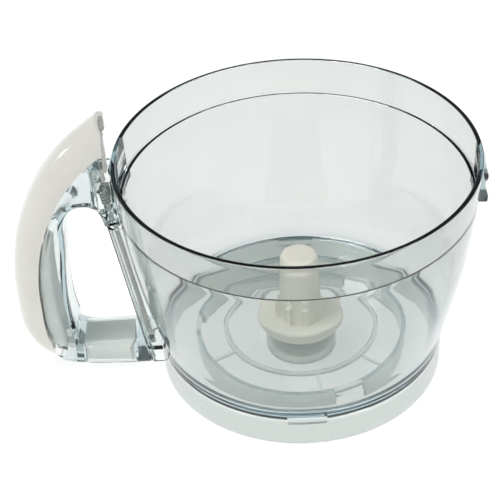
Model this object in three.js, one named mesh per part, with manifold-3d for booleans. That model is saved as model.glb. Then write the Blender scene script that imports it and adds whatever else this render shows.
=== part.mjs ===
// Food processor bowl: clear bowl with a hollow handle, white handle cover and insert,
// a sprung interlock rod in a channel on the wall, and a lift-out drive spindle.
// Millimetres, +Z up. The handle lies along -X. Handle outlines are written as
// [reach from the bowl's axis, height above the table].

import * as THREE from 'three';
import { mergeVertices } from 'three/addons/utils/BufferGeometryUtils.js';
import Module from 'manifold-3d';

const wasm = await Module();
wasm.setup();

// Driving dimensions
const roundSteps = 64; // segments round the bowl
const partingGap = 0.35; // clearance between resting neighbours

const rimHeight = 130.3;
const rimRadius = 94.2; // outside of the rim
const ledgeHeight = 109.6; // step inside the collar that carries the lid
const wallThickness = 2.6;
const floorTop = 20;
const floorUnder = 17;
const skirtRadius = 77.4;
const bossRadius = 19.5;
const bossBore = 16.2;
const bossTop = 24;
const couplingRing = { inner: 55.7, outer: 58.2, low: 6, notchWidth: 17, notchAngles: [293, 173, 53] };
const hubRing = { inner: 40.4, outer: 42.6, low: 14.6 };
const floorRibs = { angles: [210, 278, 316, 30, 98, 136], thickness: 1, low: 15.4 };
const lidLugAngles = [-4, 170];
const baseLugs = { count: 4, first: -1, width: 20, low: 13 };

const handleHalfWidth = 14;
const frameHalfWidth = 13.4;
const frameWall = 2.8;
const coverWall = 2.4;
const mouthReach = 96;
const coverSeamReach = 136.6; // where the cover stops and the lower arm starts

const channelSlope = 0.157; // the wall channel leans outwards going up
const channelFoot = 84.3; // outside face of the channel at table level
const channelLow = 6;
const channelTop = 98;
const rodRadius = 1.3;
const rodInset = 3.1; // rod axis behind the channel's outside face
const rodLean = Math.atan(channelSlope);

const spindleTop = 65;
const spindleRadius = 10.2;
const spindleFootRadius = 11.6;
const splines = { count: 8, reach: 13.4, width: 3.2, top: 39.5 };
const flangeRadius = 23.3;
const flangeTop = 28.5;
const flangeLow = 20.6;
const sleeveRadius = 12.4;
const washerTop = bossTop + 2.7;

// Outline of the inner edge of the cover, from the mouth down to the lower arm
const coverEdge = new THREE.SplineCurve([
  new THREE.Vector2(84, 152.5),
  new THREE.Vector2(97, 142.8),
  new THREE.Vector2(109, 132.4),
  new THREE.Vector2(120, 118.5),
  new THREE.Vector2(128.5, 102.5),
  new THREE.Vector2(134.6, 85),
  new THREE.Vector2(138, 66),
  new THREE.Vector2(138.8, 47),
  new THREE.Vector2(138.4, 31),
  new THREE.Vector2(135.6, 22),
  new THREE.Vector2(128.5, 17),
]);

const clearPlastic = { color: 0xd9e2df, roughness: 0.08, metalness: 0 };
const whitePlastic = { color: 0xe4e2d8, roughness: 0.22, metalness: 0 };
const innerPlastic = { color: 0xd2d1cb, roughness: 0.4, metalness: 0 };
const sealRubber = { color: 0x4c4f50, roughness: 0.8, metalness: 0 };
const steel = { color: 0xb4b6b8, roughness: 0.3, metalness: 1 };
const bearingPlastic = { color: 0xc9c6b8, roughness: 0.5, metalness: 0 };

// ---------- solids ----------

// A closed manifold solid from any closed three.js geometry.
function solid(geometry) {
  const bare = geometry.clone();
  bare.deleteAttribute('normal');
  bare.deleteAttribute('uv');
  const merged = mergeVertices(bare, 1e-4);
  const index = merged.index.array;
  const position = merged.attributes.position.array;
  const triangles = [];
  let volume = 0;
  const [a, b, c] = [new THREE.Vector3(), new THREE.Vector3(), new THREE.Vector3()];
  for (let i = 0; i < index.length; i += 3) {
    const [p, q, r] = [index[i], index[i + 1], index[i + 2]];
    if (p === q || q === r || r === p) continue;
    triangles.push([p, q, r]);
    a.fromArray(position, 3 * p);
    b.fromArray(position, 3 * q);
    c.fromArray(position, 3 * r);
    volume += a.dot(b.cross(c));
  }
  const outward = volume > 0 ? triangles : triangles.map(([p, q, r]) => [p, r, q]);
  const mesh = new wasm.Mesh({
    numProp: 3,
    vertProperties: new Float32Array(position),
    triVerts: new Uint32Array(outward.flat()),
  });
  return new wasm.Manifold(mesh);
}

function named(name, shape, look) {
  const { vertProperties, triVerts } = shape.getMesh();
  const geometry = new THREE.BufferGeometry();
  geometry.setAttribute('position', new THREE.BufferAttribute(new Float32Array(vertProperties), 3));
  geometry.setIndex(new THREE.BufferAttribute(new Uint32Array(triVerts), 1));
  geometry.computeVertexNormals();
  const mesh = new THREE.Mesh(geometry, new THREE.MeshStandardMaterial(look));
  mesh.name = name;
  return mesh;
}

// A ring or disc turned about the bowl's axis from a closed [radius, height] outline.
function turned(outline, segments = roundSteps) {
  const points = outline.map(([r, z]) => new THREE.Vector2(r, z));
  points.push(points[0].clone());
  const geometry = new THREE.LatheGeometry(points, segments);
  geometry.rotateX(Math.PI / 2);
  return solid(geometry);
}

// A [reach, height] outline in the handle's plane, thickened both ways across it.
function slab(outline, halfWidth, bevel = 0) {
  const shape = new THREE.Shape(outline.map(([reach, z]) => new THREE.Vector2(-reach, z)));
  const depth = 2 * (halfWidth - bevel);
  const geometry = new THREE.ExtrudeGeometry(shape, {
    depth,
    bevelEnabled: bevel > 0,
    bevelThickness: bevel,
    bevelSize: bevel,
    bevelOffset: -bevel,
    bevelSegments: 3,
  });
  geometry.translate(0, 0, -depth / 2);
  geometry.rotateX(Math.PI / 2);
  return solid(geometry);
}

// A [radius, height] outline given a width and stood at an angle round the bowl.
function block(outline, width, angle) {
  return slab(outline, width / 2).rotate([0, 0, angle - 180]);
}

function cylinder(radius, height, sides = 24) {
  const geometry = new THREE.CylinderGeometry(radius, radius, height, sides);
  geometry.rotateX(Math.PI / 2);
  return solid(geometry);
}

// Points of a 2D curve between two parameters, as [reach, height].
function along(curve, from, to, steps) {
  const points = [];
  for (let i = 0; i <= steps; i++) {
    const p = curve.getPoint(from + ((to - from) * i) / steps);
    points.push([p.x, p.y]);
  }
  return points;
}

// An arc in an outline, angles in degrees.
function arc(reach, z, radius, from, to, steps = 6) {
  const points = [];
  for (let i = 0; i <= steps; i++) {
    const angle = THREE.MathUtils.degToRad(from + ((to - from) * i) / steps);
    points.push([reach + radius * Math.cos(angle), z + radius * Math.sin(angle)]);
  }
  return points;
}

// ---------- bowl ----------

const outerWall = [
  [rimRadius, rimHeight - 0.7],
  [92.9, ledgeHeight],
  [91.2, 93.3],
  [88.5, 74.8],
  [85.2, 56.3],
  [81.9, 42.4],
  [79.8, 33.2],
  [78.6, 26.7],
  [77.9, floorTop],
  [skirtRadius, floorUnder - 1],
];

function bowlShell() {
  const innerWall = outerWall
    .slice(2, 7)
    .reverse()
    .map(([r, z]) => [r - wallThickness, z]);
  return turned([
    [rimRadius - 0.6, rimHeight],
    ...outerWall,
    [skirtRadius, 1],
    [skirtRadius - 0.4, 0],
    [skirtRadius - wallThickness, 0],
    [skirtRadius - wallThickness, floorUnder - 1],
    [skirtRadius - wallThickness - 1, floorUnder],
    [bossRadius, floorUnder],
    [bossRadius, 2.3],
    [bossBore, 2.3],
    [bossBore, bossTop],
    [bossRadius, bossTop],
    [bossRadius, floorTop],
    [71, floorTop],
    [74, floorTop + 1.3],
    [75.9, floorTop + 4.4],
    ...innerWall,
    [89.9, ledgeHeight - 1],
    [90.2, ledgeHeight],
    [91.3, ledgeHeight],
    [rimRadius - 2.5, rimHeight - 0.6],
    [rimRadius - 2.1, rimHeight],
  ]);
}

// Two saw-tooth steps, one over the other, that the lid's bayonet turns under.
function lidLug(angle) {
  const outline = [
    [91.5, 128.4],
    [93.9, 129],
    [96.5, 120.8],
    [96.2, 118],
    [94.9, 116.8],
    [94.9, 114.8],
    [96.9, 108],
    [96.6, 104.6],
    [91.5, 104.6],
  ];
  return block(outline, 19, angle);
}

function baseLug(angle) {
  const outline = [
    [71.8, baseLugs.low],
    [76.4, baseLugs.low],
    [76.4, floorUnder + 0.4],
    [71.8, floorUnder + 0.4],
  ];
  return block(outline, baseLugs.width, angle);
}

function underRing({ inner, outer, low }) {
  return turned([
    [inner, low],
    [outer, low],
    [outer, floorUnder + 0.6],
    [inner, floorUnder + 0.6],
  ]);
}

function notch(angle) {
  const outline = [
    [couplingRing.inner - 3, couplingRing.low - 3],
    [couplingRing.outer + 3, couplingRing.low - 3],
    [couplingRing.outer + 3, floorUnder - 2],
    [couplingRing.inner - 3, floorUnder - 2],
  ];
  return block(outline, couplingRing.notchWidth, angle);
}

function floorRib(angle) {
  const outline = [
    [hubRing.outer - 1, floorRibs.low],
    [couplingRing.inner + 1, floorRibs.low],
    [couplingRing.inner + 1, floorUnder + 0.6],
    [hubRing.outer - 1, floorUnder + 0.6],
  ];
  return block(outline, floorRibs.thickness, angle);
}

function bowl() {
  let body = bowlShell();
  for (const angle of lidLugAngles) body = body.add(lidLug(angle));
  for (let i = 0; i < baseLugs.count; i++) {
    body = body.add(baseLug(baseLugs.first + (360 * i) / baseLugs.count));
  }
  let ring = underRing(couplingRing);
  for (const angle of couplingRing.notchAngles) ring = ring.subtract(notch(angle));
  body = body.add(ring).add(underRing(hubRing));
  for (const angle of floorRibs.angles) body = body.add(floorRib(angle));
  return body;
}

// The space that the bowl fills, with clearance, for cutting what is fitted round it.
function bowlEnvelope() {
  const clear = partingGap;
  return turned([
    [0, rimHeight + 1],
    ...outerWall.map(([r, z]) => [r + clear, z]),
    [skirtRadius + clear, -5],
    [0, -5],
  ]).add(block([[90, 129.4], [94.4, 129.4], [97.4, 120.4], [97.4, 104], [90, 104]], 19.8, 170));
}

// ---------- handle ----------

function channelPlan(inset, widen = 0) {
  const halfWidth = handleHalfWidth - inset + widen;
  const crown = channelFoot - inset + widen;
  const shape = new THREE.Shape();
  shape.moveTo(-70, -halfWidth);
  shape.lineTo(-(crown - 3.6), -halfWidth);
  shape.quadraticCurveTo(-(crown + 0.2), -halfWidth * 0.85, -crown, 0);
  shape.quadraticCurveTo(-(crown + 0.2), halfWidth * 0.85, -(crown - 3.6), halfWidth);
  shape.lineTo(-70, halfWidth);
  return shape;
}

// The channel's section raised between two heights, leaning with the wall.
function channelPrism(inset, low, high, widen = 0) {
  const geometry = new THREE.ExtrudeGeometry(channelPlan(inset, widen), {
    depth: high - low,
    bevelEnabled: false,
    curveSegments: 6,
  });
  geometry.translate(0, 0, low);
  geometry.applyMatrix4(new THREE.Matrix4().set(1, 0, -channelSlope, 0, 0, 1, 0, 0, 0, 0, 1, 0, 0, 0, 0, 1));
  return solid(geometry);
}

// The rod's axis as a point of the handle's plane at a height.
function rodPoint(z) {
  return [-(channelFoot + channelSlope * z - rodInset), 0, z];
}

// A round bar along the rod's axis, centred at a height measured on the axis.
function alongRod(shape, z) {
  return shape.rotate([0, THREE.MathUtils.radToDeg(-rodLean), 0]).translate(rodPoint(z));
}

function rodChannel() {
  const guideLow = channelLow + 8;
  const guideHigh = channelLow + 11;
  return channelPrism(0, channelLow, channelTop)
    .subtract(channelPrism(1.2, channelLow - 1, guideLow))
    .subtract(channelPrism(1.2, guideHigh, channelTop + 1))
    .subtract(alongRod(cylinder(rodRadius + 0.4, 30), guideLow))
    .subtract(bowlEnvelope());
}

// Clear frame of the handle: junction block, web, grip and lower arm in one C-shaped outline.
function frameOutline() {
  const shifted = along(coverEdge, 0.107, 0.86, 22).map(([reach, z]) => [reach - 0.45, z - 0.25]);
  return [
    [88, 125.6],
    [98.6, 125.6],
    [98.6, 141],
    ...shifted.slice(1),
    [coverSeamReach - partingGap, 19],
    [coverSeamReach - partingGap, 9.4],
    [133, 7.2],
    [127, 5.4],
    [116, 3.6],
    [102, 2.6],
    [78, 2.4],
    [78, 20.2],
    ...arc(112.5, 30, 9.8, -90, -20, 5),
    [123.2, 38],
    [124, 50],
    [123.4, 68],
    [121.8, 84],
    [121.2, 92],
    ...arc(111.5, 101.4, 9.8, 0, 90, 6),
    [106, 111.2],
    [102.4, 108.6],
    [100, 102],
    [99.6, 98.6],
    [88, 98.6],
  ];
}

// The hollow of the frame, open towards the cover.
function framePocketOutline() {
  const outside = along(coverEdge, 0.13, 0.93, 16).map(([reach, z]) => [reach + 3, z + 2]);
  return [
    [104.5, 137],
    ...outside.slice(2),
    [coverSeamReach + 4, 15],
    [coverSeamReach + 4, 12],
    [134, 10.2],
    [127, 8.2],
    [116, 6.4],
    [102, 5.4],
    [90.5, 5.2],
    [90.5, 17.4],
    ...arc(112.5, 30, 12.6, -90, -20, 5),
    [126.2, 38],
    [127, 50],
    [126.4, 68],
    [124.8, 84],
    [124.2, 92],
    ...arc(111.5, 101.4, 12.8, 0, 90, 6),
    [104.5, 114.2],
  ];
}

function handleFrame() {
  const rodPocket = slab(
    [
      [94, 104],
      [103.4, 104],
      [104.5, 130],
      [94, 130],
    ],
    5,
  );
  const rodPassage = slab(
    [
      [94, 97],
      [101.4, 97],
      [102.4, 105],
      [94, 105],
    ],
    2.4,
  );
  const screwTab = slab(
    [
      [112, 112.6],
      [115, 112.6],
      [115, 138.4],
      [112, 141.2],
    ],
    5,
  );
  const armBoss = cylinder(6.8, 3.2).translate([-104, 0, 5.6]);
  return slab(frameOutline(), frameHalfWidth, 2.2)
    .subtract(slab(framePocketOutline(), frameHalfWidth - frameWall))
    .subtract(coverSweep(-partingGap, 0.02, 0.99))
    .add(screwTab)
    .add(armBoss)
    .subtract(cylinder(1.8, 20).rotate([0, 90, 0]).translate([-113, 0, 134.5]))
    .subtract(cylinder(1.9, 20).translate([-104, 0, 5]))
    .subtract(cylinder(3.6, 5).translate([-104, 0, 2.5]))
    .subtract(rodPocket)
    .subtract(rodPassage)
    .subtract(channelPrism(0, -5, 60, partingGap))
    .subtract(bowlEnvelope());
}

// Half-round handle section swept along the cover's inner edge. A unit cylinder is
// bent onto the path: its height is the place along it, its angle the place round it.
function coverSweep(inset, from, to, steps = 30, sides = 22) {
  const geometry = new THREE.CylinderGeometry(1, 1, 1, sides, steps);
  const position = geometry.attributes.position;
  const squareness = 2 / 2.3;
  for (let i = 0; i < position.count; i++) {
    const [x, y, z] = [position.getX(i), position.getY(i), position.getZ(i)];
    const t = from + (to - from) * (y + 0.5);
    const centre = coverEdge.getPoint(t);
    const tangent = coverEdge.getTangent(t);
    const taper = THREE.MathUtils.smoothstep(t, 0.08, 0.3);
    const halfWidth = 13 + (handleHalfWidth - 13) * taper - inset;
    const runOut = THREE.MathUtils.smoothstep(t, 0.74, 0.95);
    const depth = 13.3 + 0.5 * taper - 3.4 * runOut - inset;
    const across = halfWidth * Math.sign(x) * Math.abs(x) ** squareness;
    const out = z > 0 ? depth * z ** squareness : 0;
    const under = z < 0 ? Math.abs(inset) * z * 2 : 0;
    const lift = out + under;
    position.setXYZ(i, -(centre.x - tangent.y * lift), across, centre.y + tangent.x * lift);
  }
  return solid(geometry);
}

function handleCover() {
  const mouthCut = slab([[60, 100], [mouthReach, 100], [mouthReach, 190], [60, 190]], 30);
  const seamCut = slab([[90, -10], [coverSeamReach, -10], [coverSeamReach, 26], [90, 26]], 30);
  const upperBoss = slab([[115.4, 130], [122, 126], [124, 134.6], [116, 142.6]], 4.4);
  const lowerBoss = cylinder(4.2, 9.6).translate([-140.4, 0, 15.2]);
  const hollow = coverSweep(coverWall, 0.02, 0.99);
  const boss = upperBoss.add(lowerBoss).intersect(coverSweep(1, 0.05, 0.97));
  return coverSweep(0, 0.06, 0.96)
    .subtract(hollow)
    .add(boss)
    .subtract(mouthCut)
    .subtract(seamCut)
    .subtract(cylinder(1.6, 20).rotate([0, 90, 0]).translate([-113, 0, 134.5]))
    .subtract(cylinder(1.9, 30).translate([-140.4, 0, 18]))
    .subtract(cylinder(3.6, 13.8).translate([-140.4, 0, 9.5]));
}

// White insert inside the clear frame: core of the lower arm, turning up into the grip.
function handleInsert() {
  const outer = along(coverEdge, 0.41, 0.84, 10).map(([reach, z]) => [reach - 1, z]);
  const outline = [
    ...outer,
    [134.8, 17],
    [134.8, 11.2],
    [126, 8.6],
    [116, 7],
    [92, 5.9],
    [92, 16.9],
    [112.5, 16.9],
    ...arc(112.5, 34, 17.1, -90, -8, 6).slice(1),
    [131, 50],
    [130.8, 66],
    [129.8, 80],
    [127.4, 93],
  ];
  const hollow = [
    [134, 76],
    [150, 60],
    [150, 25],
    [132, 18.5],
    [132, 12.6],
    [114, 9.2],
    [96, 8.2],
    [96, 14.8],
    [112, 14.8],
    [124, 18],
    [132.6, 30],
    [133, 50],
  ];
  const foot = slab([[127, 26], [143.6, 26], [143.6, 20.4], [127, 20.4]], 4.6);
  const boss = cylinder(3.6, 8).translate([-104, 0, 12]);
  return slab(outline, 10.2)
    .subtract(cylinder(7.2, 4).translate([-104, 0, 5.3]))
    .subtract(slab(hollow, 8.2))
    .add(foot)
    .add(boss)
    .subtract(cylinder(1.2, 14).translate([-104, 0, 8.5]))
    .subtract(cylinder(1.2, 20).translate([-140.4, 0, 20]));
}

// A pan-head screw standing on the origin with its head down and a cross slot in the head.
function screw(length) {
  const head = turned([[0, 0], [2.4, 0], [3, 0.8], [3, 2], [0, 2]], 20);
  const shank = cylinder(1, length, 16).translate([0, 0, 2 + length / 2 - 0.05]);
  const slot = new THREE.BoxGeometry(3.4, 0.8, 1.6);
  const crossSlot = new THREE.BoxGeometry(0.8, 3.4, 1.6);
  return head.add(shank).subtract(solid(slot)).subtract(solid(crossSlot));
}

// ---------- interlock ----------

function interlockRod() {
  const low = 8;
  const high = 121;
  const length = (high - low) / Math.cos(rodLean);
  return alongRod(cylinder(rodRadius, length, 16), (low + high) / 2);
}

// White plate that the lid's tab pushes down, on a foot whose stem holds the top of the rod.
function rodHead() {
  const plate = slab(
    [
      [96.1, 126.2],
      [97.9, 126.2],
      [97.9, 146],
      [97.3, 147],
      [96.7, 147],
      [96.1, 146],
    ],
    3.5,
  );
  const foot = slab([[96.1, 126.2], [103, 126.2], [103.6, 127.6], [103, 129], [96.1, 129]], 3.5);
  const stem = alongRod(cylinder(2.6, 7), 123);
  const bore = alongRod(cylinder(rodRadius + 0.05, 12, 16), 116);
  return plate.add(foot).add(stem).subtract(bore);
}

function rodSpring() {
  const turns = 6;
  const coilRadius = 2.6;
  const [low, high] = [105.4, 118.2];
  const points = [];
  const steps = turns * 12;
  for (let i = 0; i <= steps; i++) {
    const angle = (2 * Math.PI * i) / 12;
    const z = ((high - low) * i) / steps;
    points.push(new THREE.Vector3(coilRadius * Math.cos(angle), coilRadius * Math.sin(angle), z));
  }
  const wire = new THREE.Shape();
  wire.absarc(0, 0, 0.4, 0, 2 * Math.PI);
  const geometry = new THREE.ExtrudeGeometry(wire, {
    steps,
    curveSegments: 3,
    extrudePath: new THREE.CatmullRomCurve3(points),
  });
  return alongRod(solid(geometry), low);
}

// Flat clip across the rod's foot, which stops it against the channel's guide.
function rodClip() {
  const plate = solid(new THREE.BoxGeometry(3.2, 8, 1.2));
  return alongRod(plate.subtract(cylinder(rodRadius + 0.05, 3, 16)), channelLow + 6.6);
}

// ---------- spindle ----------

function spindle() {
  const topEdge = arc(spindleRadius - 1.8, spindleTop - 2.2, 1.8, 0, 90, 6);
  let body = turned(
    [
      [6.6, 3],
      [sleeveRadius, 3],
      [sleeveRadius, 4.4],
      [sleeveRadius - 0.9, 4.4],
      [sleeveRadius - 0.9, 5.9],
      [sleeveRadius, 5.9],
      [sleeveRadius, washerTop + 0.3],
      [flangeRadius - 2, washerTop + 0.3],
      [flangeRadius - 2.4, flangeLow],
      [flangeRadius - 1.2, flangeLow],
      [flangeRadius, flangeTop - 1.2],
      [flangeRadius - 1, flangeTop],
      [spindleFootRadius, flangeTop],
      ...topEdge,
      [0, spindleTop],
      [0, 46],
      [6.6, 44],
    ],
    48,
  );
  for (let i = 0; i < splines.count; i++) {
    const outline = [
      [spindleFootRadius - 2, flangeTop - 1],
      [splines.reach, flangeTop - 1],
      [splines.reach, splines.top - 0.8],
      [splines.reach - 0.8, splines.top],
      [spindleFootRadius - 2, splines.top],
    ];
    body = body.add(block(outline, splines.width, 10 + (360 * i) / splines.count));
  }
  return body;
}

// Steel drive sleeve with a hexagonal socket for the motor shaft, blind at the top.
function driveInsert() {
  const socket = new THREE.CylinderGeometry(4.7, 4.7, 32, 6);
  socket.rotateX(Math.PI / 2);
  return turned([[0, 4], [6.3, 4], [6.3, 40], [5.6, 42], [0, 42]], 32).subtract(
    solid(socket).translate([0, 0, 18]),
  );
}

function ring(inner, outer, low, high, segments = 48) {
  return turned([[inner, low], [outer, low], [outer, high], [inner, high]], segments);
}

function spindleBush() {
  return ring(sleeveRadius + 0.1, bossBore - 0.3, 7, bossTop + 0.3).add(
    ring(sleeveRadius + 0.1, bossRadius - 0.6, bossTop + 0.3, bossTop + 1.5),
  );
}

function thrustWasher() {
  return ring(sleeveRadius + 0.3, bossRadius - 1.5, washerTop - 0.9, washerTop);
}

function retainingRing() {
  const gap = solid(new THREE.BoxGeometry(6, 3, 4)).translate([-13, 0, 5.2]);
  return ring(sleeveRadius - 0.6, sleeveRadius + 1.8, 4.7, 5.6, 40).subtract(gap);
}

// ---------- assembly ----------

const bowlGroup = new THREE.Group();
bowlGroup.add(
  named('bowl', bowl(), clearPlastic),
  named('rod_channel', rodChannel(), clearPlastic),
  named('handle_frame', handleFrame(), clearPlastic),
  named('handle_insert', handleInsert(), innerPlastic),
  named('handle_cover', handleCover(), whitePlastic),
  named('cover_screw_upper', screw(10).rotate([0, -90, 0]).translate([-109.6, 0, 134.5]), steel),
  named('cover_screw_lower', screw(9).translate([-140.4, 0, 14.2]), steel),
  named('arm_screw', screw(7.6).translate([-104, 0, 2.8]), steel),
  named('interlock_rod', interlockRod(), bearingPlastic),
  named('rod_head', rodHead(), whitePlastic),
  named('rod_spring', rodSpring(), steel),
  named('rod_clip', rodClip(), steel),
  named('spindle', spindle(), whitePlastic),
  named('drive_insert', driveInsert(), steel),
  named('spindle_bush', spindleBush(), bearingPlastic),
  named('thrust_washer', thrustWasher(), steel),
  named('retaining_ring', retainingRing(), steel),
  named('boss_seal', ring(bossRadius + 0.3, bossRadius + 1, floorTop + 0.35, bossTop - 1), sealRubber),
);

// The origin is under the middle of the whole part, on the table.
const extent = new THREE.Box3().setFromObject(bowlGroup);
bowlGroup.position.x = -(extent.min.x + extent.max.x) / 2;
bowlGroup.position.y = -(extent.min.y + extent.max.y) / 2;

const model = new THREE.Group();
model.add(bowlGroup);

export default model;
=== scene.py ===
import math

import bmesh
import bpy
from mathutils import Matrix, Vector


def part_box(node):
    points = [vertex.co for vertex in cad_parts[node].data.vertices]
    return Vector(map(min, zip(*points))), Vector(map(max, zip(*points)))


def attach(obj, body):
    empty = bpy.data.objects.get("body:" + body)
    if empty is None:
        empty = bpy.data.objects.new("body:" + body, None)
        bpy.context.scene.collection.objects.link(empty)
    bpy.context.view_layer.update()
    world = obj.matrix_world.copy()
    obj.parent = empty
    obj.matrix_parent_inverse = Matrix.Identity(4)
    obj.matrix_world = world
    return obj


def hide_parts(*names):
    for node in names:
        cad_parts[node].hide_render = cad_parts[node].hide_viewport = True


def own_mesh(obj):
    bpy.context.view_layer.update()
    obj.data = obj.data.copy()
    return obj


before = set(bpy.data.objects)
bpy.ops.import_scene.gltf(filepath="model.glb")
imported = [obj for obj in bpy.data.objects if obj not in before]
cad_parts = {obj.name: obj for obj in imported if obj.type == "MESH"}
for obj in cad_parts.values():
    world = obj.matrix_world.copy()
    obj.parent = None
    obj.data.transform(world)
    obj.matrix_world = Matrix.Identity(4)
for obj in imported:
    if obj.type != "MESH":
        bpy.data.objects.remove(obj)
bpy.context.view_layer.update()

scene = bpy.context.scene
mm = 0.001
spindleLow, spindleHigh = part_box("spindle")
axisX = (spindleLow.x + spindleHigh.x) / 2  # the bowl's own axis
print("frame loaded, bowl axis at x", round(axisX, 5))

# Shapes are drawn in millimetres round the bowl's axis, handle towards -X,
# then scaled and moved into place. Handle outlines are (reach, height).


def catmullPoint(points, t):
    span = (len(points) - 1) * min(max(t, 0.0), 1.0)
    k = min(int(span), len(points) - 2)
    w = span - k
    p0, p1, p2 = (Vector(points[i]) for i in (max(k - 1, 0), k, k + 1))
    p3 = Vector(points[min(k + 2, len(points) - 1)])
    v0, v1 = (p2 - p0) * 0.5, (p3 - p1) * 0.5
    cubic = (2 * p1 - 2 * p2 + v0 + v1) * w ** 3
    return cubic + (-3 * p1 + 3 * p2 - 2 * v0 - v1) * w ** 2 + v0 * w + p1


def smoothRun(points, perSpan=4, start=0.0, stop=1.0, steps=None):
    steps = steps or (len(points) - 1) * perSpan
    return [tuple(catmullPoint(points, start + (stop - start) * i / steps))
            for i in range(steps + 1)]


def roundedOutline(corners, steps=5):
    # a corner with a third number is rounded to that radius
    outline = []
    for i, corner in enumerate(corners):
        here = Vector(corner[:2])
        if len(corner) < 3:
            outline.append(tuple(here))
            continue
        before = Vector(corners[i - 1][:2]) - here
        after = Vector(corners[(i + 1) % len(corners)][:2]) - here
        reach = corner[2] / math.tan(before.angle(after) / 2)
        reach = min(reach, before.length * 0.49, after.length * 0.49)
        start, end = here + before.normalized() * reach, here + after.normalized() * reach
        for k in range(steps + 1):
            w = k / steps
            outline.append(tuple(start.lerp(here, w).lerp(here.lerp(end, w), w)))
    return outline


def turned(outline, steps=192):
    # closed (radius, height) outline spun round the axis
    bm = bmesh.new()
    ring = [bm.verts.new((r, 0, z)) for r, z in outline]
    edges = [bm.edges.new((ring[i - 1], ring[i])) for i in range(len(ring))]
    bmesh.ops.spin(bm, geom=ring + edges, axis=(0, 0, 1), cent=(0, 0, 0), angle=math.tau,
                   steps=steps, use_merge=True, use_duplicate=False)
    bmesh.ops.remove_doubles(bm, verts=bm.verts, dist=1e-4)
    bmesh.ops.dissolve_degenerate(bm, edges=bm.edges, dist=1e-5)
    bmesh.ops.recalc_face_normals(bm, faces=bm.faces)
    return bm


def slab(outline, halfWidth, edgeRadius=0.0, segments=4):
    # (reach, height) outline thickened both ways across the handle's plane
    bm = bmesh.new()
    face = bm.faces.new([bm.verts.new((-reach, -halfWidth, z)) for reach, z in outline])
    grown = bmesh.ops.extrude_face_region(bm, geom=[face])["geom"]
    bmesh.ops.translate(bm, vec=(0, 2 * halfWidth, 0),
                        verts=[v for v in grown if isinstance(v, bmesh.types.BMVert)])
    bmesh.ops.recalc_face_normals(bm, faces=bm.faces)
    if edgeRadius:
        caps = [e for e in bm.edges if abs(abs(e.verts[0].co.y) - halfWidth) < 1e-4
                and abs(e.verts[0].co.y - e.verts[1].co.y) < 1e-4]
        bmesh.ops.bevel(bm, geom=caps, offset=edgeRadius, affect="EDGES", segments=segments,
                        profile=0.5, material=-1, clamp_overlap=False)
        bmesh.ops.remove_doubles(bm, verts=bm.verts, dist=1e-4)
    bmesh.ops.triangulate(bm, faces=[f for f in bm.faces if len(f.verts) > 4],
                          ngon_method="EAR_CLIP")
    return bm


def block(outline, width, angle, edgeRadius=0.0):
    # (radius, height) outline given a width and stood at an angle round the bowl
    bm = slab(outline, width / 2, edgeRadius, 2)
    bmesh.ops.rotate(bm, cent=(0, 0, 0), matrix=Matrix.Rotation(math.radians(angle - 180), 3, "Z"),
                     verts=bm.verts)
    return bm


def rod(radius, height, at=(0, 0, 0), tilt=0.0, sides=48):
    # a bar centred on a point, tilted in the handle's plane
    bm = bmesh.new()
    bmesh.ops.create_cone(bm, cap_ends=True, segments=sides, radius1=radius, radius2=radius,
                          depth=height)
    bmesh.ops.rotate(bm, cent=(0, 0, 0), matrix=Matrix.Rotation(tilt, 3, "Y"), verts=bm.verts)
    bmesh.ops.translate(bm, vec=at, verts=bm.verts)
    return bm


def workObject(bm, name):
    mesh = bpy.data.meshes.new(name)
    bm.to_mesh(mesh)
    bm.free()
    obj = bpy.data.objects.new(name, mesh)
    scene.collection.objects.link(obj)
    return obj


def combined(base, changes):
    # changes are (operation, mesh) pairs, taken in order
    body = workObject(base, "work")
    tools = []
    for operation, tool in changes:
        tools.append(workObject(tool, "tool"))
        change = body.modifiers.new("change", "BOOLEAN")
        change.operation, change.object, change.solver = operation, tools[-1], "MANIFOLD"
    shaped = body.evaluated_get(bpy.context.evaluated_depsgraph_get())
    bm = bmesh.new()
    bm.from_mesh(shaped.to_mesh())
    shaped.to_mesh_clear()
    for obj in tools + [body]:
        bpy.data.objects.remove(obj)
    bmesh.ops.remove_doubles(bm, verts=bm.verts, dist=2e-4)
    bmesh.ops.dissolve_degenerate(bm, edges=bm.edges, dist=2e-4)
    return bm


def finished(bm, name, node, body, material, softEdge=0.0, sharp=32):
    # into metres and the row's frame, shaded, riding its body in place of its node
    bmesh.ops.scale(bm, vec=(mm,) * 3, verts=bm.verts)
    bmesh.ops.translate(bm, vec=(axisX, 0, 0), verts=bm.verts)
    piece = workObject(bm, name)
    piece.data.name = name
    piece.data.materials.append(material)
    piece.data.shade_smooth()
    if softEdge:
        soft = piece.modifiers.new("soft edges", "BEVEL")
        soft.limit_method, soft.angle_limit = "ANGLE", math.radians(sharp)
        soft.width, soft.segments, soft.profile = softEdge * mm, 2, 0.5
        soft.use_clamp_overlap, soft.harden_normals = True, False
    piece.data.set_sharp_from_angle(angle=math.radians(sharp))
    even = piece.modifiers.new("even shading", "WEIGHTED_NORMAL")
    even.weight, even.keep_sharp = 60, True
    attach(piece, body)
    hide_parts(node)
    print("piece", name, len(piece.data.polygons), "faces")
    return piece


# Finishes. Patterns read object coordinates, so they stay put as parts move.

def newMaterial(name):
    material = bpy.data.materials.new(name)
    material.use_nodes = True
    tree = material.node_tree
    shader = tree.nodes["Principled BSDF"]
    return material, tree, shader


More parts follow.
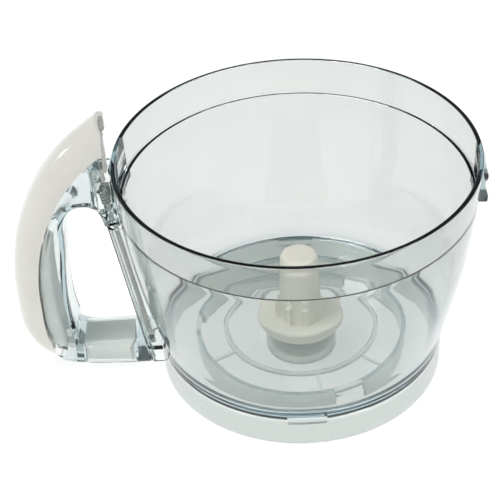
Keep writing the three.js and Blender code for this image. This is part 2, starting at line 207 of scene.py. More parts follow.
def noiseField(tree, scale, detail=3.0, stretch=(1, 1, 1)):
    place = tree.nodes.new("ShaderNodeTexCoord")
    mapping = tree.nodes.new("ShaderNodeMapping")
    mapping.inputs["Scale"].default_value = stretch
    noise = tree.nodes.new("ShaderNodeTexNoise")
    noise.inputs["Scale"].default_value = scale
    noise.inputs["Detail"].default_value = detail
    tree.links.new(place.outputs["Object"], mapping.inputs["Vector"])
    tree.links.new(mapping.outputs["Vector"], noise.inputs["Vector"])
    return noise.outputs["Fac"]


def spread(tree, source, low, high, fromLow=0.35, fromHigh=0.65):
    ranged = tree.nodes.new("ShaderNodeMapRange")
    ranged.inputs["From Min"].default_value = fromLow
    ranged.inputs["From Max"].default_value = fromHigh
    ranged.inputs["To Min"].default_value = low
    ranged.inputs["To Max"].default_value = high
    tree.links.new(source, ranged.inputs["Value"])
    return ranged.outputs["Result"]


def blendColours(tree, source, first, second):
    mix = tree.nodes.new("ShaderNodeMix")
    mix.data_type = "RGBA"
    mix.inputs["A"].default_value = (*first, 1)
    mix.inputs["B"].default_value = (*second, 1)
    tree.links.new(source, mix.inputs["Factor"])
    return mix.outputs["Result"]


def bumped(tree, shader, source, strength, distance):
    bump = tree.nodes.new("ShaderNodeBump")
    bump.inputs["Strength"].default_value = strength
    bump.inputs["Distance"].default_value = distance
    tree.links.new(source, bump.inputs["Height"])
    tree.links.new(bump.outputs["Normal"], shader.inputs["Normal"])


clearLook = {
    "tint": (0.83, 0.83, 0.805),
    "tintDeep": (0.805, 0.81, 0.785),
    "depthColour": (0.41, 0.60, 0.67),
    "depthDensity": 56,   # darkening per metre of plastic
    "ior": 1.57,
    "roughness": (0.015, 0.05),
    "grain": 420,
    "mouldWave": 26,      # slow unevenness of the moulding, per metre
    "waveDepth": 0.0004,
    "waveStrength": 0.25,
    "shadowTint": (0.95, 0.96, 0.96),
}
handleLook = dict(clearLook, tint=(0.94, 0.955, 0.945), tintDeep=(0.92, 0.94, 0.93),
                  depthColour=(0.42, 0.60, 0.64), depthDensity=36, ior=1.27)
milkyFoot = {
    "below": 0.0155,      # the foot is moulded slightly milky up to this height, metres
    "blend": 0.0015,
    "tint": (0.75, 0.765, 0.725),
    "clear": 0.72,        # share of the light that still goes through
}


def clearMaterial(name, look, milky=None):
    material, tree, shader = newMaterial(name)
    shader.inputs["Transmission Weight"].default_value = 1.0
    shader.inputs["IOR"].default_value = look["ior"]
    slow = noiseField(tree, look["mouldWave"], 2.0)
    fine = noiseField(tree, look["grain"], 4.0)
    colour = blendColours(tree, spread(tree, slow, 0, 1), look["tint"], look["tintDeep"])
    roughness = spread(tree, fine, *look["roughness"])
    if milky:
        place = tree.nodes.new("ShaderNodeTexCoord")
        parts = tree.nodes.new("ShaderNodeSeparateXYZ")
        tree.links.new(place.outputs["Object"], parts.inputs["Vector"])
        low = spread(tree, parts.outputs["Z"], 1, 0, milky["below"] - milky["blend"],
                     milky["below"] + milky["blend"])
        mix = tree.nodes.new("ShaderNodeMix")
        mix.data_type = "RGBA"
        mix.inputs["B"].default_value = (*milky["tint"], 1)
        tree.links.new(low, mix.inputs["Factor"])
        tree.links.new(colour, mix.inputs["A"])
        colour = mix.outputs["Result"]
        clear = spread(tree, low, 1, milky["clear"], 0, 1)
        tree.links.new(clear, shader.inputs["Transmission Weight"])
    tree.links.new(colour, shader.inputs["Base Color"])
    tree.links.new(roughness, shader.inputs["Roughness"])
    bumped(tree, shader, slow, look["waveStrength"], look["waveDepth"])
    depth = tree.nodes.new("ShaderNodeVolumeAbsorption")
    depth.inputs["Color"].default_value = (*look["depthColour"], 1)
    depth.inputs["Density"].default_value = look["depthDensity"]
    tree.links.new(depth.outputs["Volume"], tree.nodes["Material Output"].inputs["Volume"])
    # lamps reach through the clear wall
    path = tree.nodes.new("ShaderNodeLightPath")
    through = tree.nodes.new("ShaderNodeBsdfTransparent")
    through.inputs["Color"].default_value = (*look["shadowTint"], 1)
    choice = tree.nodes.new("ShaderNodeMixShader")
    tree.links.new(path.outputs["Is Shadow Ray"], choice.inputs["Fac"])
    tree.links.new(shader.outputs["BSDF"], choice.inputs[1])
    tree.links.new(through.outputs["BSDF"], choice.inputs[2])
    tree.links.new(choice.outputs["Shader"], tree.nodes["Material Output"].inputs["Surface"])
    return material


plastic = {"mottle": 60, "coatRoughness": 0.06, "ior": 1.5, "grainStrength": 0.3}
steel = {"brush": 900, "brushStrength": 0.2, "brushDepth": 0.00003}


def plasticMaterial(name, first, second, roughness, grain, grainDepth, coat=0.0):
    material, tree, shader = newMaterial(name)
    slow = noiseField(tree, plastic["mottle"], 3.0)
    fine = noiseField(tree, grain, 3.0)
    tree.links.new(blendColours(tree, spread(tree, slow, 0, 1), first, second),
                   shader.inputs["Base Color"])
    tree.links.new(spread(tree, fine, *roughness), shader.inputs["Roughness"])
    shader.inputs["Coat Weight"].default_value = coat
    shader.inputs["Coat Roughness"].default_value = plastic["coatRoughness"]
    shader.inputs["IOR"].default_value = plastic["ior"]
    bumped(tree, shader, fine, plastic["grainStrength"], grainDepth)
    return material


def steelMaterial(name, colour, dark, roughness, stretch):
    material, tree, shader = newMaterial(name)
    shader.inputs["Metallic"].default_value = 1.0
    brushed = noiseField(tree, steel["brush"], 4.0, stretch)
    tree.links.new(blendColours(tree, spread(tree, brushed, 0, 1), colour, dark),
                   shader.inputs["Base Color"])
    tree.links.new(spread(tree, brushed, *roughness), shader.inputs["Roughness"])
    bumped(tree, shader, brushed, steel["brushStrength"], steel["brushDepth"])
    return material


clearWall = clearMaterial("clear plastic bowl", clearLook, milkyFoot)
clearHandle = clearMaterial("clear plastic handle", handleLook)
coverWhite = plasticMaterial(
    "cover gloss white", first=(0.83, 0.82, 0.76), second=(0.80, 0.79, 0.73),
    roughness=(0.12, 0.2), grain=1400, grainDepth=0.00002, coat=0.6)
insertWhite = plasticMaterial(
    "insert white", first=(0.88, 0.88, 0.85), second=(0.82, 0.83, 0.80),
    roughness=(0.4, 0.5), grain=1100, grainDepth=0.00003)
spindleWhite = plasticMaterial(
    "spindle white", first=(0.86, 0.84, 0.74), second=(0.82, 0.80, 0.70),
    roughness=(0.32, 0.42), grain=1200, grainDepth=0.00003, coat=0.1)
bearingWhite = plasticMaterial(
    "bearing plastic", first=(0.62, 0.61, 0.58), second=(0.56, 0.55, 0.52),
    roughness=(0.45, 0.55), grain=900, grainDepth=0.00004)
sealGrey = plasticMaterial(
    "seal rubber", first=(0.07, 0.075, 0.08), second=(0.05, 0.052, 0.056),
    roughness=(0.65, 0.8), grain=1500, grainDepth=0.00005)
brushedSteel = steelMaterial("brushed steel", colour=(0.62, 0.63, 0.64), dark=(0.48, 0.49, 0.5),
                             roughness=(0.25, 0.38), stretch=(1, 1, 8))
springSteel = steelMaterial("spring steel", colour=(0.5, 0.5, 0.5), dark=(0.38, 0.38, 0.39),
                            roughness=(0.3, 0.42), stretch=(1, 1, 1))
print("materials made")


bowl = {
    "rim": 130.3,
    "rimRadius": 94.2,
    "ledge": 109.6,
    "wall": 2.6,
    "floorTop": 20.0,
    "floorUnder": 17.0,
    "skirt": 77.4,
    "boss": 19.5,
    "bossBore": 16.2,
    "bossTop": 24.0,
    "lidLugs": (-4, 170),
    "lidLugWidth": 19,
    "baseLugs": (-1, 89, 179, 269),
    "baseLugWidth": 20,
    "couplingRing": (55.7, 58.2, 6.0),
    "notches": (293, 173, 53),
    "notchWidth": 17.0,
    "hubRing": (40.4, 42.6, 14.6),
    "ribs": (210, 278, 316, 30, 98, 136),
    "ribWidth": 1.0,
    "ribLow": 15.4,
    "steps": 224,
    "outerWall": [(94.2, 129.6), (93.5, 119.6), (92.9, 109.6), (91.2, 93.3), (88.5, 74.8),
                  (85.2, 56.3), (81.9, 42.4), (79.8, 33.2), (78.6, 26.7), (77.9, 20), (77.4, 16)],
    "lidLug": [(91.6, 128.4), (93.9, 129, 0.4), (96.5, 120.8, 0.7), (96.2, 118, 0.5),
               (94.9, 116.8, 0.4), (94.9, 114.8, 0.4), (96.9, 108, 0.7), (96.6, 104.6, 0.5),
               (91.6, 104.6)],
    "baseLug": [(71.8, 13, 0.5), (76.2, 13), (76.2, 17.5), (71.8, 17.5)],
}


def bowlShell():
    skirt, wall, boss, bossBore = bowl["skirt"], bowl["wall"], bowl["boss"], bowl["bossBore"]
    rim, rimRadius, ledge = bowl["rim"], bowl["rimRadius"], bowl["ledge"]
    floorTop, floorUnder = bowl["floorTop"], bowl["floorUnder"]
    smoothWall = smoothRun(bowl["outerWall"], 3)
    innerWall = [(r - wall, z) for r, z in smoothWall if 32 < z < 94]
    outline = [(rimRadius - 0.7, rim), (rimRadius - 0.2, rim - 0.2)] + smoothWall
    outline += roundedOutline([(skirt, 3), (skirt, 0, 0.7), (skirt - wall, 0, 0.6),
                               (skirt - wall, 3)], 3)
    outline += roundedOutline([
        (skirt - wall, floorUnder - 2), (skirt - wall, floorUnder, 1.2), (boss, floorUnder, 0.8),
        (boss, 2.3, 0.6), (bossBore, 2.3, 0.4), (bossBore, bowl["bossTop"], 0.4),
        (boss, bowl["bossTop"], 0.8), (boss, floorTop, 0.8)], 3)
    # the floor's rounded edge
    outline += [(71, floorTop), (72.6, 20.35), (74, 21.3), (75.1, 22.7), (75.9, 24.6), (76.5, 27.5)]
    outline += innerWall[::-1]
    # the ledge that the lid sits on, and the inside of the rim
    outline += [(89.3, 102), (89.6, 106), (89.8, 108.8), (90.0, 109.4), (90.3, ledge),
                (91.2, ledge), (91.4, 109.9), (91.5, 110.4), (rimRadius - 2.5, rim - 0.8),
                (rimRadius - 2.4, rim - 0.25), (rimRadius - 2.0, rim)]
    return turned(outline, bowl["steps"])


def bowlLug(outline, width, angle):
    return "UNION", block(roundedOutline(outline, 3), width, angle)


def buildBowl():
    under = bowl["floorUnder"]
    ringTop = under + 0.6
    inner, outer, low = bowl["couplingRing"]
    hubIn, hubOut, hubLow = bowl["hubRing"]
    changes = [bowlLug(bowl["lidLug"], bowl["lidLugWidth"], angle) for angle in bowl["lidLugs"]]
    changes += [bowlLug(bowl["baseLug"], bowl["baseLugWidth"], angle)
                for angle in bowl["baseLugs"]]
    notch = [(inner - 3, low - 3), (outer + 3, low - 3), (outer + 3, under - 2),
             (inner - 3, under - 2)]
    notches = [("DIFFERENCE", block(notch, bowl["notchWidth"], angle)) for angle in bowl["notches"]]
    ring = turned(roundedOutline([(inner, low, 0.5), (outer, low, 0.5), (outer, ringTop),
                                  (inner, ringTop)], 3))
    changes.append(("UNION", combined(ring, notches)))
    changes.append(("UNION", turned(roundedOutline(
        [(hubIn, hubLow, 0.5), (hubOut, hubLow, 0.5), (hubOut, ringTop), (hubIn, ringTop)], 3))))
    rib = [(hubOut - 1, bowl["ribLow"]), (inner + 1, bowl["ribLow"]), (inner + 1, ringTop),
           (hubOut - 1, ringTop)]
    changes += [("UNION", block(rib, bowl["ribWidth"], angle)) for angle in bowl["ribs"]]
    finished(combined(bowlShell(), changes), "bowl_clear", "bowl", "bowl_body",
             clearWall)


buildBowl()

cover = {
    "edge": [(84, 152.5), (97, 142.8), (109, 132.4), (120, 118.5), (128.5, 102.5), (134.6, 85),
             (138, 66), (138.8, 47), (138.4, 31), (135.6, 22), (128.5, 17)],
    "start": 0.06,          # where the cover begins and ends along its edge
    "stop": 0.96,
    "wall": 2.4,
    "halfWidth": (13.0, 14.0),
    "depth": (13.3, 13.8),
    "runOut": 3.4,          # how much shallower the lower end is
    "squareness": 2 / 2.3,
    "stations": 72,
    "sides": 48,
    "mouthReach": 96,
    "seamReach": 136.6,
    "upperScrew": (-113, 0, 134.5),
    "lowerScrewX": -140.4,
}


def smoothStep(t, low, high):
    w = min(max((t - low) / (high - low), 0.0), 1.0)
    return w * w * (3 - 2 * w)


def sweptCover(inset, start, stop):
    # half-round section carried along the cover's inner edge, ring by ring
    edge = cover["edge"]
    (widthLow, widthHigh), (depthLow, depthHigh) = cover["halfWidth"], cover["depth"]
    bm = bmesh.new()
    place = bm.verts.layers.int.new("place")
    circle = bmesh.ops.create_circle(bm, cap_ends=False, segments=cover["sides"],
                                     radius=1.0)["verts"]
    section = [v.co.copy() for v in circle]
    for i, v in enumerate(circle):
        v[place] = i
    ring, edges = circle, list(bm.edges)
    bmesh.ops.edgeloop_fill(bm, edges=edges)
    for station in range(cover["stations"] + 1):
        if station:
            grown = bmesh.ops.extrude_edge_only(bm, edges=edges)["geom"]
            ring = [g for g in grown if isinstance(g, bmesh.types.BMVert)]
            new = set(ring)
            edges = [g for g in grown
                     if isinstance(g, bmesh.types.BMEdge) and set(g.verts) <= new]
        t = start + (stop - start) * station / cover["stations"]
        centre = catmullPoint(edge, t)
        tangent = (catmullPoint(edge, t + 1e-4) - catmullPoint(edge, t - 1e-4)).normalized()
        taper = smoothStep(t, 0.08, 0.3)
        width = widthLow + (widthHigh - widthLow) * taper - inset
        depth = depthLow + (depthHigh - depthLow) * taper - inset
        depth -= cover["runOut"] * smoothStep(t, 0.74, 0.95)
        for v in ring:
            x, z = section[v[place]].x, section[v[place]].y
            across = width * math.copysign(abs(x) ** cover["squareness"], x)
            lift = depth * z ** cover["squareness"] if z > 0 else abs(inset) * z * 2
            v.co = (-(centre.x - tangent.y * lift), across, centre.y + tangent.x * lift)
    bmesh.ops.edgeloop_fill(bm, edges=edges)
    bmesh.ops.remove_doubles(bm, verts=bm.verts, dist=1e-4)
    bmesh.ops.recalc_face_normals(bm, faces=bm.faces)
    return bm


def buildCover():
    mouth, seam, screwX = cover["mouthReach"], cover["seamReach"], cover["lowerScrewX"]
    bosses = combined(slab([(115.4, 130), (122, 126), (124, 134.6), (116, 142.6)], 4.4),
                      [("UNION", rod(4.2, 9.6, (screwX, 0, 15.2)))])
    shape = combined(sweptCover(0, cover["start"], cover["stop"]), [
        ("DIFFERENCE", sweptCover(cover["wall"], 0.02, 0.99)),
        ("UNION", combined(bosses, [("INTERSECT", sweptCover(1, 0.05, 0.97))])),
        ("DIFFERENCE", slab([(60, 100), (mouth, 100), (mouth, 190), (60, 190)], 30)),
        ("DIFFERENCE", slab([(90, -10), (seam, -10), (seam, 26), (90, 26)], 30)),
        ("DIFFERENCE", rod(1.6, 20, cover["upperScrew"], math.pi / 2)),
        ("DIFFERENCE", rod(1.9, 30, (screwX, 0, 18))),
        ("DIFFERENCE", rod(3.6, 13.8, (screwX, 0, 9.5))),
    ])
    finished(shape, "cover_white", "handle_cover", "bowl_body", coverWhite,
             softEdge=0.35, sharp=38)


buildCover()

handle = {
    "gap": 0.35,            # clearance to the bowl and the cover
    "halfWidth": 13.4,
    "wall": 2.8,
    "edgeRadius": 3.2,
    "armRadius": 6.2,
    "armWall": 0.9,
    "channelHalfWidth": 14.0,
    "channelSlope": 0.157,  # the channel leans outwards going up
    "channelFoot": 84.3,
    "channelWall": 1.2,
    "channelLow": 6.0,
    "channelTop": 98.0,
    "rodRadius": 1.3,
    "rodInset": 3.1,
    "armScrewX": -104,
}
lean = math.atan(handle["channelSlope"])
spring = {
    "low": 105.9,           # middle of the wire at the first turn
    "high": 117.7,
    "coil": 2.6,
    "wire": 0.45,
    "turns": 6,
    "stepsPerTurn": 24,
    "pressed": 0.5,         # share of its height left when the lid presses the rod
}


def rodPoint(z):
    return (-(handle["channelFoot"] + handle["channelSlope"] * z - handle["rodInset"]), 0, z)


def alongRod(radius, height, z):
    return rod(radius, height, rodPoint(z), -lean, 32)


def channelPrism(inset, low, high, widen=0.0):
    # flat-sided channel section with a crowned outside, raised and leaned with the wall
    halfWidth = handle["channelHalfWidth"] - inset + widen
    crown = handle["channelFoot"] - inset + widen
    side = [(-70, -halfWidth)]
    side += smoothRun([(-(crown - 3.6), -halfWidth), (-(crown - 1.5), -halfWidth * 0.86),
                       (-(crown - 0.45), -halfWidth * 0.5), (-crown, 0),
                       (-(crown - 0.45), halfWidth * 0.5), (-(crown - 1.5), halfWidth * 0.86),
                       (-(crown - 3.6), halfWidth)], 5)
    side.append((-70, halfWidth))
    bm = bmesh.new()
    face = bm.faces.new([bm.verts.new((x, y, low)) for x, y in side])
    grown = bmesh.ops.extrude_face_region(bm, geom=[face])["geom"]
    bmesh.ops.translate(bm, vec=(0, 0, high - low),
                        verts=[v for v in grown if isinstance(v, bmesh.types.BMVert)])
    leaned = Matrix(((1, 0, -handle["channelSlope"], 0), (0, 1, 0, 0), (0, 0, 1, 0), (0, 0, 0, 1)))
    bmesh.ops.transform(bm, matrix=leaned, verts=bm.verts)
    bmesh.ops.recalc_face_normals(bm, faces=bm.faces)
    return bm


def bowlEnvelope():
    # the space the bowl fills, with clearance, for cutting what is fitted round it
    gap = handle["gap"]
    outline = [(0, bowl["rim"] + 1)]
    outline += [(r + gap, z) for r, z in smoothRun(bowl["outerWall"], 3)]
    outline += [(bowl["skirt"] + gap, -5), (0, -5)]
    lug = block([(90, 129.4), (94.4, 129.4), (97.4, 120.4), (97.4, 104), (90, 104)],
                bowl["lidLugWidth"] + 0.8, bowl["lidLugs"][1])
    return combined(turned(outline), [("UNION", lug)])


def buildFrame():
    gap, halfWidth, screwX = handle["gap"], handle["halfWidth"], handle["armScrewX"]
    seam = cover["seamReach"] - gap
    edge = [(reach - 0.45, z - 0.25) for reach, z in
            smoothRun(cover["edge"], start=0.107, stop=0.86, steps=60)]
    hole = smoothRun([(112, 20.2), (117, 21.3), (120.9, 25.6), (122.7, 32), (123.8, 42), (124, 54),
                      (123.4, 68), (122.1, 82), (121.5, 92), (121.1, 100), (118.9, 106.2),
                      (114.4, 110.4), (108.6, 111.4), (103.8, 109.4), (101, 104.6),
                      (99.7, 98.6)], 4)
    # the grip runs up the back and over the top of the finger gap, the arm closes it below
    grip = [(84, 125.6), (98.6, 125.6), (98.6, 141)]
    grip += [point for point in edge if point[0] > 106.5]
    grip += [(seam, 24), (seam, 14), (122, 13)]
    grip += [point for point in hole if point[1] > 28] + [(84, 98.6)]
    arm = [(72, 20.4), (72, 2.4), (102, 2.6), (116, 3.6), (127, 5.4), (133, 7.2),
           (seam - 0.6, 10.4), (seam, 14), (seam, 21), (129, 25.5), (122.5, 25), (119.6, 22.2),
           (115.6, 20.6), (111, 20.2)]
    # the hollow that holds the white insert, open towards the cover
    inner = smoothRun([(104, 17.4), (112, 17.5), (118.6, 19.4), (123.4, 24.4), (125.5, 32),
                       (126.6, 42), (126.9, 54), (126.3, 68), (125, 82), (124.4, 92), (124, 100.5),
                       (121.4, 108), (115.9, 113.1), (108.8, 114.3)], 4)
    outside = [(reach + 3, z + 2) for reach, z in
               smoothRun(cover["edge"], start=0.17, stop=0.93, steps=50)]
    hollow = [(104.5, 137)] + outside
    hollow += [(140.6, 15), (140.6, 12), (134, 10.4), (127, 8.8), (124.4, 10), (124.4, 26)]
    hollow += [point for point in inner if point[1] > 29] + [(104.5, 114.2)]
    armHollow = [(90.5, 3.9), (104, 4.1), (121, 5.4), (121, 18.8), (90.5, 18.8)]
    webSlot = [(119, 8), (131, 10.5), (131, 17), (124.5, 14.8), (119, 11.8)]
    screwWall = [(112, 112.6), (115, 112.6), (115, 138.4), (112, 141.2)]
    headWell = [(94, 104), (103.4, 104), (104.5, 130), (94, 130)]
    headRecess = [(94, 106), (102, 106), (102.6, 126), (94, 126)]
    rodWell = [(94, 97), (101.4, 97), (102.4, 105), (94, 105)]
    shape = combined(slab(grip, halfWidth, handle["edgeRadius"], 5), [
        ("UNION", slab(arm, halfWidth, handle["armRadius"], 8)),
        ("DIFFERENCE", slab(hollow, halfWidth - handle["wall"])),
        ("DIFFERENCE", slab(armHollow, halfWidth - handle["armWall"], 5.8, 8)),
        ("DIFFERENCE", slab(webSlot, 4.2)),
        ("DIFFERENCE", sweptCover(-gap, 0.02, 0.99)),
        ("UNION", slab(screwWall, 5)),
        ("UNION", rod(6.8, 3.2, (screwX, 0, 5.6))),
        ("DIFFERENCE", rod(1.8, 20, cover["upperScrew"], math.pi / 2)),
        ("DIFFERENCE", rod(1.9, 20, (screwX, 0, 5))),
        ("DIFFERENCE", rod(3.6, 5, (screwX, 0, 2.5))),
        ("DIFFERENCE", slab(headWell, 5)),
        ("DIFFERENCE", slab(headRecess, 10.4, 1.0, 3)),
        ("DIFFERENCE", slab(rodWell, 2.4)),
        ("DIFFERENCE", channelPrism(0, -5, 60, gap)),
        ("DIFFERENCE", bowlEnvelope()),
    ])
    finished(shape, "frame_clear", "handle_frame", "bowl_body", clearHandle,
             sharp=30)


def buildChannel():
    wall, low, top = handle["channelWall"], handle["channelLow"], handle["channelTop"]
    shape = combined(channelPrism(0, low, top), [
        ("DIFFERENCE", channelPrism(wall, low - 1, low + 8)),
        ("DIFFERENCE", channelPrism(wall, low + 11, top + 1)),
        ("DIFFERENCE", alongRod(handle["rodRadius"] + 0.4, 30, low + 8)),
        ("DIFFERENCE", bowlEnvelope()),
    ])
    finished(shape, "channel_clear", "rod_channel", "bowl_body", clearHandle,
             sharp=30)


def buildInsert():
    armScrewX, coverScrewX = handle["armScrewX"], cover["lowerScrewX"]
    strip = [(reach - 1, z) for reach, z in
             smoothRun(cover["edge"], start=0.41, stop=0.84, steps=30)]
    strip += [(134.6, 15), (129.6, 14)]
    strip += smoothRun([(128.8, 21), (129.6, 32), (130.6, 42), (131, 52), (130.8, 66), (129.8, 80),
                        (127.4, 93)], 4)
    core = [(92, 4.5), (104, 4.7), (120, 6), (120, 18.1), (92, 18.1)]
    web = [(118, 8.6), (131.5, 12.4), (131.5, 16.5), (126, 14.2), (118, 10.9)]
    hollow = [(134, 76), (150, 60), (150, 25), (133.2, 20.5), (132.6, 30), (133, 50)]
    screwPost = [(127, 26), (143.6, 26), (143.6, 20.4), (127, 20.4)]
    shape = combined(slab(strip, 10.2, 2.0, 4), [
        ("UNION", slab(core, handle["halfWidth"] - handle["armWall"] - 0.4, 5.4, 8)),
        ("UNION", slab(web, 3.8)),
        ("DIFFERENCE", rod(7.2, 4, (armScrewX, 0, 5.3))),
        ("DIFFERENCE", slab(hollow, 8.2)),
        ("UNION", slab(screwPost, 4.6)),
        ("DIFFERENCE", rod(1.2, 14, (armScrewX, 0, 8.5))),
        ("DIFFERENCE", rod(1.2, 20, (coverScrewX, 0, 20))),
    ])
    finished(shape, "insert_white", "handle_insert", "bowl_body", insertWhite,
             sharp=34)


rodHead = {
    "halfWidth": 3.5,
    "edgeRadius": 0.4,
    "plate": [(96.1, 126.2), (97.9, 126.2), (97.9, 147, 0.9), (96.1, 147, 0.9)],
    "foot": [(96.1, 126.2), (103.6, 126.2, 1.3), (103.6, 129, 1.3), (96.1, 129)],
    "stemRadius": 2.6,
}


def buildRodHead():
    plate, foot = (slab(roundedOutline(rodHead[part], 4), rodHead["halfWidth"],
                        rodHead["edgeRadius"], 2) for part in ("plate", "foot"))
    shape = combined(plate, [("UNION", foot),
                             ("UNION", alongRod(rodHead["stemRadius"], 7, 123)),
                             ("DIFFERENCE", alongRod(handle["rodRadius"] + 0.05, 12, 116))])
    finished(shape, "rod_head_white", "rod_head", "interlock", coverWhite,
             sharp=34)


def buildSpring():
    # a coil of wire on the rod
    low, high, turns = spring["low"], spring["high"], spring["turns"]
    steps = turns * spring["stepsPerTurn"]
    bm = bmesh.new()
    ring = bmesh.ops.create_circle(bm, cap_ends=True, segments=10, radius=spring["wire"],
                                   matrix=Matrix.Translation((spring["coil"], 0, low)) @
                                   Matrix.Rotation(math.pi / 2, 4, "X"))["verts"]
    edges = list({edge for vert in ring for edge in vert.link_edges})
    bmesh.ops.spin(bm, geom=ring + edges + bm.faces[:], cent=(0, 0, 0), axis=(0, 0, 1),
                   dvec=(0, 0, (high - low) / steps), angle=math.tau * turns, steps=steps,
                   use_merge=False, use_duplicate=False)
    bmesh.ops.remove_doubles(bm, verts=bm.verts, dist=1e-4)
    bmesh.ops.recalc_face_normals(bm, faces=bm.faces)
    bmesh.ops.translate(bm, vec=(0, 0, -(low + high) / 2), verts=bm.verts)
    bmesh.ops.transform(bm, matrix=Matrix.Translation(rodPoint((low + high) / 2)) @
                        Matrix.Rotation(-lean, 4, "Y"), verts=bm.verts)
    coil = finished(bm, "spring_coil", "rod_spring", "bowl_body", springSteel, sharp=60)
    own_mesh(coil)


buildSpring()
buildFrame()
buildChannel()
buildInsert()
buildRodHead()

spindle = {
    "top": 65.0,
    "radius": 10.2,
    "footRadius": 11.6,
    "flange": 23.3,
    "flangeTop": 28.5,
    "flangeLow": 20.6,
    "sleeve": 12.4,
    "washerTop": 26.7,
    "splines": [10 + 45 * i for i in range(8)],
    "splineReach": 13.4,
    "splineWidth": 3.2,
    "splineTop": 39.5,
}


def buildSpindle():
    top, radius, footRadius = spindle["top"], spindle["radius"], spindle["footRadius"]
    sleeve, flange = spindle["sleeve"], spindle["flange"]
    flangeTop, flangeLow = spindle["flangeTop"], spindle["flangeLow"]
    shoulder = spindle["washerTop"] + 0.3
    outline = roundedOutline([
        (6.6, 3, 0.4), (sleeve, 3, 0.5), (sleeve, 4.4), (sleeve - 0.9, 4.4), (sleeve - 0.9, 5.9),
        (sleeve, 5.9), (sleeve, shoulder, 0.3), (flange - 2, shoulder, 0.6),
        (flange - 2.4, flangeLow, 0.5), (flange - 1.2, flangeLow, 0.5),
        (flange, flangeTop - 1.2, 1.4), (flange - 1, flangeTop, 0.7),
        (footRadius, flangeTop, 0.8)], 4)
    # rounded top, then the socket's roof
    outline += [(radius, top - 3.4), (radius - 0.35, top - 1.9), (radius - 0.9, top - 0.75),
                (radius - 2, top - 0.15), (radius - 3.2, top), (0.0, top), (0.0, 46.0), (6.6, 44)]
    spline = roundedOutline([
        (footRadius - 2, flangeTop - 1), (spindle["splineReach"], flangeTop - 1),
        (spindle["splineReach"], spindle["splineTop"], 1.0),
        (footRadius - 2, spindle["splineTop"])], 4)
    splines = [("UNION", block(spline, spindle["splineWidth"], angle))
               for angle in spindle["splines"]]
    finished(combined(turned(outline, 128), splines), "spindle_white", "spindle", "spindle_body",
             spindleWhite, softEdge=0.25, sharp=35)


buildSpindle()


def ringPiece(name, node, body, material, corners, steps=128):
    finished(turned(roundedOutline(corners, 3), steps), name, node, body, material)


sleeve = spindle["sleeve"]
boss, bore, bossTop = bowl["boss"], bowl["bossBore"], bowl["bossTop"]
ringPiece("bush_plastic", "spindle_bush", "bearing", bearingWhite,
          [(sleeve + 0.1, 7, 0.3), (bore - 0.3, 7, 0.4), (bore - 0.3, bossTop + 0.3),
           (boss - 0.6, bossTop + 0.3, 0.3), (boss - 0.6, bossTop + 1.5, 0.4),
           (sleeve + 0.1, bossTop + 1.5, 0.3)])
ringPiece("washer_steel", "thrust_washer", "bearing", brushedSteel,
          [(sleeve + 0.3, 25.8, 0.15), (boss - 1.5, 25.8, 0.15), (boss - 1.5, 26.7, 0.15),
           (sleeve + 0.3, 26.7, 0.15)])
ringPiece("seal_rubber_ring", "boss_seal", "bowl_body", sealGrey,
          [(boss + 0.3, 20.35, 0.25), (boss + 1, 20.35, 0.25), (boss + 1, 23, 0.3),
           (boss + 0.3, 23, 0.3)])

for node, material in (("cover_screw_upper", brushedSteel), ("cover_screw_lower", brushedSteel),
                       ("arm_screw", brushedSteel), ("rod_clip", springSteel),
                       ("interlock_rod", bearingWhite), ("drive_insert", brushedSteel),
                       ("retaining_ring", springSteel)):
    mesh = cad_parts[node].data
    mesh.materials.clear()
    mesh.materials.append(material)
print("small parts finished")

studio = {
    "floorSize": 30.0,
    "floorGlow": 0.84,
    "floorColour": (0.32, 0.32, 0.32),
    "worldLow": (2.30, 2.30, 2.30),
    "worldHigh": (0.60, 0.61, 0.62),
    "worldStrength": 0.30,
    "worldBlend": (0.02, 0.42),   # heights between which low turns to high
    # name, place, size, power, what it points at
    "lamps": [("key", (-0.42, -0.06, 1.28), 0.55, 6.2, (0.02, 0, 0.06)),
              ("top", (0.35, 0.25, 1.25), 0.5, 2.5, (0.02, 0, 0.06)),
              ("front", (0.10, -1.00, 0.62), 0.16, 1.7, (0.02, 0, 0.06)),
              ("glint", (-0.95, 0.20, 0.42), 0.05, 0.8, (-0.10, -0.01, 0.11))],
}
view = {
    "elevation": 0.6617,
    "roll": -0.0559,
    "lens": 98.92,
    "sensor": 36,
    "place": (-0.02589, -0.5774, 0.5191),   # from the bowl's axis
}


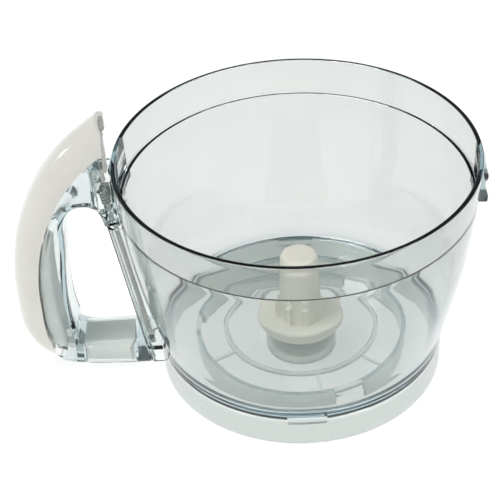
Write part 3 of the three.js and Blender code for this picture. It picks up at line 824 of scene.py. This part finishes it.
def makeFloor():
    bm = bmesh.new()
    bmesh.ops.create_grid(bm, x_segments=8, y_segments=8, size=studio["floorSize"] / 2)
    floor = workObject(bm, "floor")
    material, tree, shader = newMaterial("pale floor")
    shader.inputs["Base Color"].default_value = (*studio["floorColour"], 1)
    shader.inputs["Roughness"].default_value = 0.9
    shader.inputs["Specular IOR Level"].default_value = 0.1
    shader.inputs["Emission Color"].default_value = (1, 1, 1, 1)
    shader.inputs["Emission Strength"].default_value = studio["floorGlow"]
    floor.data.materials.append(material)


def areaLight(name, position, size, power, target):
    data = bpy.data.lights.new(name, "AREA")
    data.shape, data.size, data.energy = "DISK", size, power
    lamp = bpy.data.objects.new(name, data)
    lamp.location = position
    lamp.rotation_euler = (Vector(target) - Vector(position)).to_track_quat("-Z", "Y").to_euler()
    scene.collection.objects.link(lamp)


def makeWorld():
    world = bpy.data.worlds.new("studio")
    world.use_nodes = True
    tree = world.node_tree
    place = tree.nodes.new("ShaderNodeTexCoord")
    parts = tree.nodes.new("ShaderNodeSeparateXYZ")
    tree.links.new(place.outputs["Generated"], parts.inputs["Vector"])
    height = spread(tree, parts.outputs["Z"], 0, 1, *studio["worldBlend"])
    colour = blendColours(tree, height, studio["worldLow"], studio["worldHigh"])
    background = tree.nodes["Background"]
    tree.links.new(colour, background.inputs["Color"])
    background.inputs["Strength"].default_value = studio["worldStrength"]
    scene.world = world


def makeCamera():
    # seen from in front and above, turned a little about its own line of sight
    elevation, roll = view["elevation"], view["roll"]
    right = Vector((1, 0, 0))
    up = Vector((0, math.sin(elevation), math.cos(elevation)))
    back = Vector((0, -math.cos(elevation), math.sin(elevation)))
    across = right * math.cos(roll) + up * math.sin(roll)
    rise = up * math.cos(roll) - right * math.sin(roll)
    data = bpy.data.cameras.new("camera")
    data.lens, data.sensor_width = view["lens"], view["sensor"]
    camera = bpy.data.objects.new("camera", data)
    place = Matrix((across, rise, back)).transposed().to_4x4()
    placeX, placeY, placeZ = view["place"]
    place.translation = Vector((axisX + placeX, placeY, placeZ))
    camera.matrix_world = place
    scene.collection.objects.link(camera)
    scene.camera = camera


makeFloor()
makeWorld()
for lamp in studio["lamps"]:
    areaLight(*lamp)
makeCamera()
scene.view_settings.view_transform = "Standard"
scene.cycles.max_bounces = 24
scene.cycles.transmission_bounces = 24
scene.cycles.transparent_max_bounces = 32
scene.cycles.use_denoising = True
scene.cycles.caustics_refractive = True
print("studio ready")
